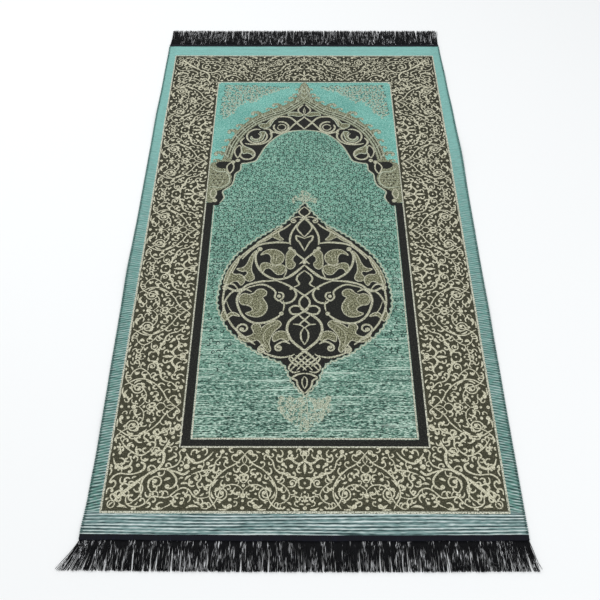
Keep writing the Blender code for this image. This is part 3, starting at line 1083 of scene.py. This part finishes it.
def makeArch():
    keep("archTanEdge", plate("archTanEdge", [halfShape(tanOuter, [(180, 72)] + archInner, 4.0)],
                              *archLayers["tanEdge"]), tanYarn)
    keep("archBand", plate("archBand", [halfShape(archOuter, archInner, 3.0)], *archLayers["band"]),
         blackGround)
    pale = Drawing("archOutlineYarn")
    straps = Drawing("archStraps")
    leaves = Drawing("archLeaves")
    ropes = Drawing("archRopes")
    straps.weight = 0.9
    fills = []
    for side in (-1, 1):
        pale.place = straps.place = leaves.place = ropes.place = sideways(side)
        pale.line(archInner, 3.2)
        for offset, wide, drawing in ((3.5, 1.8, pale), (7.0, 1.6, ropes), (10.0, 1.6, pale),
                                      (13.5, 1.8, ropes), (17.0, 1.6, pale)):
            rope = []
            for x, y in archOuter[1:10]:
                out = Vector((0.35 + x / 170.0, 1.0 - x / 260.0)).normalized() * offset
                rope.append((x + out.x, y + out.y))
            drawing.line(rope, wide)
        archBandFigures(straps)
        archCrests(leaves, pale)
        for shape in archLeafShapes:
            pale.line(shape, 2.6, closed=True)
            fills.append([straps.place(float(x), float(y)) for x, y in smoothPath(shape, closed=True)])
        pale.line([(200, 180), (186, 168), (168, 166), (160, 150), (161, 134), (176, 121), (200, 124)], 2.6)
        for x, y in ((176, 151), (184, 143), (191, 153), (180, 135), (170, 142), (186, 161), (194, 142),
                     (178, 159),
                     (190, 133), (196, 162), (185, 126), (196, 122)):
            ropes.bud(x, y, 1.7)
            pale.bud(x + 4, y - 3, 1.4)
        for lift in (0, 5, 10):
            pale.line([(1.5 + lift * 0.6, 458 - lift * 2), (6 + lift * 0.7, 432 - lift),
                       (9 + lift, 404 - lift)], 1.6)
            ropes.line([(3.5 + lift * 0.7, 450 - lift * 2), (8 + lift * 0.7, 426 - lift),
                        (14 + lift, 400 - lift)], 1.5)
    keep("archOutlineYarn", pale.mesh(*archLayers["outline"]), paleYarn)
    keep("archRopes", ropes.mesh(*archLayers["ropes"]), blackGround)
    keep("archStraps", straps.mesh(*archLayers["straps"]), strapYarn)
    keep("archCrests", leaves.mesh(*archLayers["crests"]), tanYarn)
    keep("archLeaves", plate("archLeaves", fills, *archLayers["leaves"]), leafYarn)


print("arch")
makeArch()


def insideOutline(outline, x, y):
    # whether a place is inside a closed outline, by counting the sides to its right
    crossings = 0
    for (ax, ay), (bx, by) in zip(outline, outline[1:] + outline[:1]):
        if (ay > y) != (by > y) and x < ax + (bx - ax) * (y - ay) / (by - ay):
            crossings += 1
    return crossings % 2 == 1


spraySettings = {"seed": 5, "gap": 6.4, "near": 334.0, "far": 454.0, "inner": 24.0, "outer": 194.0}


def makeSpandrels():
    x, top = border["innerX"] - 1.5, border["innerFar"] - 2.5
    right = [(0.0, top), (x, top), (x, top), (x, 190.0), (x, 190.0)]
    inner = [(170.0, 190.0), (166.0, 220.0), (150.0, 268.0), (120.0, 318.0), (70.0, 352.0), (30.0, 372.0),
             (0.0, 392.0)]
    outline = halfShape(right, inner, 12.0)
    keep("spandrels", plate("spandrels", [outline], 0.03, 0.2), spandrelTeal)
    rng = random.Random(spraySettings["seed"])
    spray = Drawing("spandrelSprays")
    shade = Drawing("spandrelSprayShade")
    bough = [(188, 452), (28, 447), (60, 434), (84, 420), (104, 404), (116, 388), (132, 396), (150, 376),
             (164, 352), (180, 334),
             (192, 348)]
    gap = spraySettings["gap"]
    for side in (-1, 1):
        spray.place = shade.place = sideways(side)
        y = spraySettings["near"]
        while y < spraySettings["far"]:
            x = spraySettings["inner"]
            while x < spraySettings["outer"]:
                atX, atY = x + rng.uniform(-2.0, 2.0), y + rng.uniform(-2.0, 2.0)
                if insideOutline(bough, atX, atY):
                    scatteredCurl(spray, rng, atX, atY, rng.uniform(2.6, 4.0), 2.2)
                    scatteredCurl(shade, rng, atX + gap / 2, atY + gap / 2, rng.uniform(2.2, 3.2), 1.8)
                x += gap
            y += gap
    keep("spandrelSprays", spray.mesh(0.06, 0.12), paleYarn)
    keep("spandrelSprayShade", shade.mesh(0.05, 0.1), curlYarn)


def scatteredCurl(drawing, rng, x, y, reach, width):
    turn = rng.uniform(0.0, 2.0 * math.pi)
    sweep = rng.uniform(3.4, 5.2) * rng.choice((-1, 1))
    points = []
    for step in range(6):
        share = step / 5
        angle = turn + sweep * share
        away = reach * (1.0 - 0.35 * share)
        points.append((x + away * math.cos(angle), y + away * math.sin(angle)))
    drawing.line(points, width, step=3.6)


curlSettings = {"seed": 3, "pitch": 9.8, "half": 184.0, "near": -438.0, "far": 290.0, "width": 2.2}


def makeFieldCurls():
    # the small dark curls that the field is woven with
    rng = random.Random(curlSettings["seed"])
    medallion = mirrored([(x * 1.05, y + (4 if y > -140 else -4)) for x, y in medallionEdge])
    arch = [(184, 74), (174, 92), (178, 108), (166, 122), (156, 144), (150, 166), (140, 182), (124, 188),
            (104, 194),
            (94, 214), (84, 238), (68, 262), (49, 280), (29, 289), (0, 292)]
    niche = arch + [(-x, y) for x, y in reversed(arch[:-1])] + [(-184, -440), (184, -440)]
    curls = Drawing("fieldCurls")
    pitch, half = curlSettings["pitch"], curlSettings["half"]
    row = 0
    y = curlSettings["near"]
    while y < curlSettings["far"]:
        x = -half + (pitch / 2 if row % 2 else 0.0)
        while x < half:
            atX, atY = x + rng.uniform(-1.4, 1.4), y + rng.uniform(-1.2, 1.2)
            kept = rng.random() < (y + 330.0) / 240.0
            if kept and insideOutline(niche, atX, atY) and not insideOutline(medallion, atX, atY):
                scatteredCurl(curls, rng, atX, atY, rng.uniform(3.2, 4.6), curlSettings["width"])
            x += pitch
        y += pitch * 0.9
        row += 1
    keep("fieldCurls", curls.mesh(0.02, 0.12), curlYarn)


def makeSprays():
    # pale flowers at the medallion's two points: a few stems, with curls strewn about them
    rng = random.Random(9)
    spray = Drawing("medallionSprays")
    for side in (-1, 1):
        spray.place = sideways(side)
        for baseY, way, wide, high in ((84, 1, 24, 30), (-372, -1, 44, 62)):
            for share in (0.15, 0.5, 0.85):
                tip = (wide * share, baseY + way * high * (1.0 - 0.6 * share))
                spray.line([(1, baseY - way * 6), (tip[0] * 0.6, baseY + way * 4), tip], 1.6)
            for _ in range(int(wide * high / 26)):
                x = wide * rng.random()
                y = baseY + way * (high * rng.random() * (1.0 - 0.55 * x / wide) - 6.0 * x / wide)
                scatteredCurl(spray, rng, x, y, rng.uniform(2.0, 3.4), 1.8)
    keep("medallionSprays", spray.mesh(0.05, 0.12), paleYarn)


medallionEdge = [(0, 76), (0, 76), (10, 60), (20, 44), (40, 20), (60, 5), (80, -9), (100, -26), (120, -46),
                 (136, -66), (149, -92),
                 (157, -120), (161, -146), (162, -170), (158, -190), (150, -210), (140, -228), (125, -245),
                 (105, -262),
                 (80, -281), (60, -291), (42, -299), (32, -310), (27, -322), (22, -335), (12, -350),
                 (0, -363), (0, -363)]


def offsetPath(points, away, closed=True):
    # the line moved to its right-hand side; away is a function of the length along it
    path = [np.array(point[:2], float) for point in points]
    count = len(path)
    done, run = [], 0.0
    for index, here in enumerate(path):
        before = path[index - 1] if closed or index else here
        after = path[(index + 1) % count] if closed or index < count - 1 else here
        along = after - before
        side = np.array([along[1], -along[0]]) / max(np.linalg.norm(along), 1e-6)
        run += np.linalg.norm(here - before)
        spot = here - side * away(run)
        done.append((float(spot[0]), float(spot[1])))
    return done


def medallionTop(straps):
    straps.line([(0, 66), (10, 56), (10, 48), (0, 38), (-10, 30)], 3.8)
    straps.coil([(0, 36), (13, 39), (24, 34)], 6.4, -1, 0.95, 3.6, 3.6)
    straps.line([(-4, 40), (4, 31), (16, 16), (26, -4), (29, -20), (28, -34)], 5.0)
    straps.bud(28, -43, 5.2)
    straps.line([(0, 33), (-10, 22), (-15, 9), (-8, -4), (0, -14)], 3.8)
    straps.line([(0, -18), (16, -11), (15, -22), (10, -28), (0, -50)], 4.6)
    straps.line([(27, -44), (16, -56), (0, -72), (-10, -82)], 4.6)
    straps.line([(0, -84), (10, -95), (28, -112), (53, -119), (76, -108), (91, -88), (96, -63), (88, -45)],
                5.6)
    straps.bud(88, -45, 6.4)
    straps.line([(30, -30), (46, -28), (66, -29), (88, -34), (106, -48), (122, -70)], 5.6)
    straps.line([(0, -84), (-14, -98), (-32, -113)], 5.0)
    # veins and the palmette's stalk
    straps.line([(47, -60), (54, -66), (55, -76)], 1.8)
    straps.line([(58, -54), (61, -64), (60, -76)], 1.8)
    straps.line([(34, -95), (36, -104), (40, -114)], 3.4)
    straps.line([(50, -90), (58, -92), (66, -88), (74, -86)], 1.8)


def medallionLoops(straps):
    straps.line([(54, -122), (36, -130), (20, -142), (16, -156), (24, -170), (38, -174), (46, -169)], 5.0)
    straps.line([(108, -138), (82, -131), (66, -137), (55, -148), (56, -160), (48, -168), (40, -160),
                 (42, -151), (50, -149)], 4.6)
    straps.bud(48, -158, 4.8)
    straps.line([(40, -168), (38, -180), (40, -192)], 3.8)
    straps.line([(43, -198), (54, -208), (70, -216), (90, -218), (108, -209), (120, -192), (127, -168),
                 (122, -150), (106, -138)],
                5.6)
    straps.bud(43, -197, 5.4)
    straps.line([(54, -122), (82, -124), (108, -132), (124, -146), (140, -142), (151, -134)], 5.4)
    straps.bud(151, -140, 6.0)
    straps.line([(124, -146), (134, -132), (146, -130), (157, -137)], 4.0)
    straps.line([(100, -148), (112, -142), (126, -143), (140, -152), (150, -172), (152, -192)], 4.4)
    straps.line([(130, -200), (140, -186), (146, -170)], 2.4)
    straps.bud(26, -141, 3.4)
    straps.line([(104, -156), (98, -164), (104, -176), (114, -178)], 1.8)
    straps.line([(88, -166), (81, -178), (86, -192), (98, -198)], 1.8)


def medallionAxis(straps):
    straps.line([(0, -98), (12, -109), (15, -119), (10, -130), (20, -137)], 4.4)
    straps.line([(20, -139), (6, -152), (-6, -162), (-10, -174), (-5, -185), (4, -192)], 4.6)
    straps.line([(-4, -194), (8, -182), (20, -180), (28, -187), (24, -197), (12, -198), (0, -192),
                 (-8, -186)], 4.6)
    straps.line([(12, -198), (4, -207), (-6, -217), (-12, -222)], 4.0)
    straps.line([(6, -196), (18, -204), (29, -216), (32, -234), (24, -254), (8, -270), (-8, -284),
                 (-22, -298)], 6.0)
    straps.line([(0, -229), (8, -222), (21, -220)], 3.8)
    straps.line([(0, -227), (6.6, -238), (6, -252), (0, -264)], 3.8)
    # the ends of the wings and of the large lower leaf
    straps.coil([(26, -262), (38, -257), (50, -264)], 7.4, -1, 0.95, 4.4, 4.2)
    straps.coil([(100, -252), (114, -248), (122, -236)], 11.5, 1, 1.0, 4.6, 5.4)
    straps.coil([(70, -268), (76, -264), (82, -270)], 7.0, -1, 0.95, 4.2, 4.6)
    straps.line([(84, -272), (66, -284), (44, -290), (24, -287)], 4.6)
    straps.line([(48, -217), (64, -226), (74, -240), (74, -256), (66, -270)], 1.8)
    # interlace and end leaf
    for shift in (-7, 4, 15):
        straps.line([(-20 + shift, -286), (-10 + shift, -296), (2 + shift, -307), (10 + shift, -316)], 3.8)
    straps.line([(8, -318), (20, -320), (28, -311), (22, -302), (12, -305)], 3.8)
    straps.line([(18, -283), (27, -291), (22, -300), (12, -308)], 4.0)
    straps.line([(0, -322), (12, -324), (22, -331), (14, -336), (12, -346), (7, -354), (0, -361)], 4.2)
    straps.line([(0, -328), (4, -334), (4, -344), (0, -352)], 3.0)


# the medallion's leaves, right half: the palmette in the upper loop and the lobes beside it,
# the split leaf, the two leaves along the rim, the three-lobed leaf, the small leaf outside it,
# the large lower leaf and the wing
medallionLeafShapes = (
    [(40, -63), (46, -53), (56, -47), (68, -46), (78, -50), (86, -60), (76, -56), (69, -58), (65, -67),
     (65, -78), (58, -84),
     (48, -82), (42, -75)],
    [(40, -86), (47, -84), (58, -87), (66, -82), (75, -79), (83, -81), (86, -90), (82, -103), (76, -94),
     (68, -92), (61, -98),
     (54, -106), (45, -107), (38, -100), (36, -92)],
    [(20, -47), (29, -48), (35, -57), (36, -67), (36, -78), (35, -88), (28, -94), (21, -90), (18, -81),
     (23, -74), (22, -65),
     (17, -58)],
    [(94, -49), (100, -54), (106, -65), (110, -77), (115, -87), (122, -92), (131, -94), (121, -100),
     (113, -99), (110, -105),
     (115, -113), (112, -121), (104, -123), (97, -118), (98, -109), (102, -100), (103, -88), (101, -74),
     (99, -60)],
    [(127, -62), (136, -76), (146, -94), (152, -112), (154, -128), (147, -133), (140, -127), (132, -123),
     (126, -126),
     (121, -133), (115, -124), (117, -113), (125, -107), (135, -107), (139, -102), (134, -90), (129, -76)],
    [(44, 14), (54, 6), (66, -5), (80, -17), (95, -30), (82, -26), (72, -20), (65, -14), (57, -18),
     (50, -22), (42, -21),
     (48, -14), (52, -5), (50, 4)],
    [(72, -148), (79, -142), (89, -143), (96, -151), (104, -154), (113, -152), (121, -157), (123, -167),
     (118, -176), (109, -178),
     (102, -181), (97, -187), (99, -192), (109, -197), (98, -203), (85, -204), (75, -198), (70, -187),
     (71, -176), (76, -167),
     (79, -160), (73, -156)],
    [(120, -203), (128, -196), (137, -195), (144, -200), (150, -190), (154, -200), (147, -213), (141, -207),
     (133, -201)],
    [(43, -219), (50, -212), (60, -216), (70, -221), (79, -228), (83, -220), (91, -218), (97, -226),
     (94, -234), (93, -240),
     (99, -245), (108, -247), (117, -243), (120, -250), (108, -257), (95, -257), (86, -254), (80, -259),
     (74, -269), (66, -279),
     (61, -274), (64, -262), (62, -250), (58, -240), (52, -232), (46, -226)],
    [(28, -241), (35, -237), (43, -235), (52, -238), (58, -247), (56, -257), (49, -254), (43, -251),
     (36, -254), (30, -256)],
)


# areas: top over the cloth, thickness. Lines: level over the cloth, rise
medallionLayers = {
    "ground": (0.12, 0.3),
    "leaves": (0.28, 0.12),
    "halo": (0.0, 0.12),
    "leafEdges": (0.28, 0.14),
    "straps": (0.28, 0.24),
}


def makeMedallion():
    half = [(float(x), float(y)) for x, y in smoothPath(medallionEdge, step=2.2)]
    whole = mirrored(half)
    scallop = {"depth": 3.4, "pitch": 12.5}

    def scalloped(run):
        return scallop["depth"] * (abs(math.sin(math.pi * run / scallop["pitch"])) - 0.6)
    keep("medallionGround", plate("medallionGround", [offsetPath(whole, scalloped)],
                                  *medallionLayers["ground"]), blackGround)
    halo = Drawing("medallionHalo")
    straps = Drawing("medallionStraps")
    straps.weight = 0.8
    leafEdges = Drawing("medallionLeafEdges")
    halo.spline([(x, y, 1.7) for x, y in offsetPath(whole, lambda run: scalloped(run) + 2.4)], True)
    rim = [spot for spot in offsetPath(whole, lambda run: -8.6) if -266 < spot[1] < 22]
    fills = []
    for side in (-1, 1):
        straps.place = leafEdges.place = sideways(side)
        straps.line([spot for spot in rim if spot[0] > 0][::4], 4.6)
        for part in (medallionTop, medallionLoops, medallionAxis):
            part(straps)
        for shape in medallionLeafShapes:
            leafEdges.line(shape, 2.2, closed=True)
            outline = [straps.place(float(x), float(y)) for x, y in smoothPath(shape, closed=True)]
            fills.append(outline)
    straps.place = straight
    straps.bud(0, -78, 5)
    keep("medallionHalo", halo.mesh(*medallionLayers["halo"]), paleYarn)
    keep("medallionLeaves", plate("medallionLeaves", fills, *medallionLayers["leaves"]), leafYarn)
    keep("medallionLeafEdges", leafEdges.mesh(*medallionLayers["leafEdges"]), strapYarn)
    keep("medallionStraps", straps.mesh(*medallionLayers["straps"]), strapYarn)


print("medallion")
makeMedallion()
print("field and spandrels")
makeSpandrels()
makeFieldCurls()
makeSprays()


tapeColors = {"dark": srgb(6, 7, 14), "mid": srgb(14, 15, 28), "light": srgb(44, 46, 64)}


def darkYarnLook(name, colors, paintedGlints):
    look = Look(name, {"Specular IOR Level": 0.15, "Sheen Weight": 0.02})
    fibre = look.noise(0.8, 16.0, 4.0, 1.0)
    clump = look.noise(9.0, 30.0, 9.0, 1.0)
    base = look.blend(fibre.ramp(0.4, 0.6), colors["dark"], colors["mid"])
    # painted highlight: glints of the lamps and sky on the shiny yarn, in the light colour
    glint = fibre.ramp(0.60, 0.65) * clump.ramp(0.48, 0.56) * paintedGlints
    look.color(look.blend(glint, base, colors["light"]))
    look.rough(fibre * 0.3 + 0.5)
    look.bump(fibre, 0.0003, 0.6)
    return look.material


# the light colours are the painted glints: faint on the tape, near-white on the fringe
navyTape = darkYarnLook("navyTape", tapeColors, 0.3)
blackYarn = darkYarnLook("blackYarn", {"dark": srgb(4, 5, 8), "mid": srgb(10, 11, 16),
                                       "light": srgb(250, 251, 253)}, 1.0)
edgeColors = {"dark": srgb(14, 30, 30), "mid": srgb(44, 84, 80), "light": srgb(120, 164, 158)}
edgeYarn = yarnLook("edgeYarn", edgeColors, 2.0, 0.8)


def makeTape(end):
    # a soft folded strip over the cloth's raw end: a round-edged section drawn along the end
    name = "tapeNear" if end < 0 else "tapeFar"
    edge = cloth["nearEnd"] if end < 0 else cloth["farEnd"]
    body = bmesh.new()
    section = [(-6.2, -2.9), (-6.6, -2.3), (0.2, -2.3), (0.2, 0.25), (-6.4, 0.25), (-6.3, 0.85),
               (-3.0, 0.95), (0.6, 0.8),
               (1.0, 0.2), (1.05, -1.2), (0.9, -2.4), (0.4, -2.9)]
    ring = [body.verts.new((0.0, y, z)) for y, z in section]
    cap = body.faces.new(ring)
    grown = bmesh.ops.extrude_face_region(body, geom=[cap])["geom"]
    bmesh.ops.translate(body, verts=[item for item in grown if isinstance(item, bmesh.types.BMVert)],
                        vec=(1.0, 0.0, 0.0))
    lengthwise = [item for item in body.edges if abs(item.verts[0].co.x - item.verts[1].co.x) > 0.5]
    bmesh.ops.subdivide_edges(body, edges=lengthwise, cuts=139, use_grid_fill=True)
    half = cloth["halfWidth"] - 0.5
    for vert in body.verts:
        x = -half + 2 * half * vert.co.x
        wave = 0.35 * math.sin(x / 19.0) + 0.25 * math.sin(x / 7.3 + 1.0)
        out = vert.co.y + (wave if vert.co.y > -5.0 else 0.4 * wave)
        vert.co = Vector((x, edge + (1 if end > 0 else -1) * out, vert.co.z))
    bmesh.ops.recalc_face_normals(body, faces=body.faces)
    mesh = bpy.data.meshes.new(name)
    body.to_mesh(mesh)
    body.free()
    settleClamped(mesh)
    piece = keep(name, mesh, navyTape)
    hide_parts("tape_near" if end < 0 else "tape_far")
    return piece


def settleClamped(mesh):
    # as settle, but nothing goes under the floor
    settle(mesh, 0.0)
    for vert in mesh.vertices:
        vert.co.z = max(vert.co.z, 0.0)


stitches = {"fromEnd": 8.0, "pitch": 2.7, "radius": 0.5}


def makeStitches():
    # the overcast side edges
    yarn = Drawing("edgeStitches")
    curve = yarn.curve
    for side in (-1, 1):
        y = cloth["nearEnd"] + stitches["fromEnd"]
        while y < cloth["farEnd"] - stitches["fromEnd"]:
            half = cloth["halfWidth"]
            rows = [(half - 3.4, y, 0.3), (half - 1.2, y + 0.5, 0.55), (half + 0.5, y + 1.0, -0.3),
                    (half + 0.4, y + 1.3, -1.6), (half - 2.4, y + 1.8, -2.25)]
            spline = curve.splines.new("POLY")
            spline.points.add(len(rows) - 1)
            for point, (x, atY, z) in zip(spline.points, rows):
                point.co = (side * x, atY, z, 1.0)
                point.radius = stitches["radius"]
            y += stitches["pitch"]
    mesh = curveMesh("edgeStitches", curve, 0.001)
    settleClamped(mesh)
    mesh.shade_smooth()
    return keep("edgeStitches", mesh, edgeYarn)


fringe = {
    "strands": 1350,
    "clumps": 150,
    "width": 0.62,
    "splayReach": 60.0,  # the strands within this of a corner fan out
}
# each end's own seed, length, unevenness of length, and splay at its left and right corners
fringeEnds = {
    -1: {"seed": 11, "length": 45.0, "spread": 1.4, "splay": {-1: 26.0, 1: 9.0}},
    1: {"seed": 23, "length": 60.5, "spread": 3.0, "splay": {-1: -2.0, 1: 2.0}},
}


def makeFringe(end):
    name = "fringeNear" if end < 0 else "fringeFar"
    own = fringeEnds[end]
    rng = random.Random(own["seed"])
    half = cloth["halfWidth"] - 1.0
    edge = cloth["nearEnd"] if end < 0 else cloth["farEnd"]
    yarn = Drawing(name)
    curve = yarn.curve
    clumps = [(rng.uniform(-1.0, 1.0), max(rng.gauss(0.4, 1.0), -0.4)) for _ in range(fringe["clumps"] + 1)]
    for index in range(fringe["strands"]):
        share = (index + rng.uniform(0.1, 0.9)) / fringe["strands"]
        x = -half + 2 * half * share
        root = lieDown(np.array([x]), np.array([edge]), np.array([0.0]))[0] / mm
        within = share * fringe["clumps"]
        clump = int(within)
        # strands lean towards the middle of their own clump, and each clump leans its own way
        lean = clumps[clump][0] * 1.8 + (clump + 0.5 - within) * 1.6 * clumps[clump][1] + rng.gauss(0.0, 1.6)
        for side in (-1, 1):
            nearness = max(1.0 - abs(x - side * half) / fringe["splayReach"], 0.0)
            lean += side * own["splay"][side] * nearness ** 2
        length = own["length"] - abs(rng.gauss(0.0, own["spread"]))
        wave, phase = rng.uniform(0.2, 1.3), rng.uniform(0.0, 6.3)
        layer = rng.uniform(0.3, 2.8)
        spline = curve.splines.new("POLY")
        spline.points.add(5)
        for step, point in enumerate(spline.points):
            out = step / 5
            atX = root[0] + lean * out ** 1.2 + wave * math.sin(phase + out * 7.0) * out
            atY = root[1] + end * (0.8 + length * out)
            drop = 1.6 + (layer - 1.6) * min(out * 4, 1.0)
            point.co = (atX * mm, atY * mm, max(drop, 0.3) * mm, 1.0)
            point.radius = fringe["width"] * (1.0 - 0.3 * out) * mm
    mesh = curveMesh(name, curve, 0.000001)
    mesh.shade_smooth()
    piece = keep(name, mesh, blackYarn)
    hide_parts("fringe_near" if end < 0 else "fringe_far")
    return piece


print("ends")
tapes = [makeTape(-1), makeTape(1)]
makeStitches()
fringes = [makeFringe(-1), makeFringe(1)]


studio = {"floorReach": 6.0, "floorZ": -0.0002, "sky": (0.97, 0.985, 1.0, 1.0), "skyStrength": 0.695}
# lamps: name, place, size and power in watts
lampRows = (
    ("softKey", (-1.1, 0.9, 2.2), 1.6, 20.0),
    ("softFill", (1.4, -1.2, 2.0), 2.0, 14.0),
)
# lens and sensor in millimetres, place in metres, and turns in degrees
viewpoint = {
    "lens": 41.03,
    "sensor": 36.0,
    "place": (-0.0024, -0.8888, 1.0657),
    "heading": 0.246,
    "down": 55.873,
    "roll": -0.123,
}


def makeStage():
    body = bmesh.new()
    bmesh.ops.create_grid(body, x_segments=1, y_segments=1, size=studio["floorReach"])
    mesh = bpy.data.meshes.new("floor")
    body.to_mesh(mesh)
    body.free()
    floor = bpy.data.objects.new("floor", mesh)
    bpy.context.scene.collection.objects.link(floor)
    floor.location.z = studio["floorZ"]
    look = Look("floorPaint", {"Base Color": srgb(250, 251, 251), "Roughness": 0.9,
                               "Specular IOR Level": 0.1})
    mesh.materials.append(look.material)

    world = bpy.data.worlds.new("studio")
    world.use_nodes = True
    background = world.node_tree.nodes["Background"]
    background.inputs["Color"].default_value = studio["sky"]
    background.inputs["Strength"].default_value = studio["skyStrength"]
    bpy.context.scene.world = world
    for name, spot, size, power in lampRows:
        light = bpy.data.lights.new(name, "AREA")
        light.size = size
        light.energy = power
        lamp = bpy.data.objects.new(name, light)
        lamp.location = spot
        lamp.rotation_euler = (Vector((0.0, 0.0, 0.0)) - Vector(spot)).to_track_quat("-Z", "Y").to_euler()
        bpy.context.scene.collection.objects.link(lamp)
    bpy.context.scene.view_settings.view_transform = "Standard"


def makeCamera():
    data = bpy.data.cameras.new("camera")
    data.lens = viewpoint["lens"]
    data.sensor_width = viewpoint["sensor"]
    camera = bpy.data.objects.new("camera", data)
    place = Matrix.Translation(viewpoint["place"])
    heading = Matrix.Rotation(math.radians(viewpoint["heading"]), 4, "Z")
    tilt = Matrix.Rotation(math.radians(90.0 - viewpoint["down"]), 4, "X")
    camera.matrix_world = place @ heading @ tilt @ Matrix.Rotation(math.radians(viewpoint["roll"]), 4, "Z")
    bpy.context.scene.collection.objects.link(camera)
    bpy.context.scene.camera = camera


print("stage")
makeStage()
makeCamera()
bpy.data.objects.remove(yarnSection)
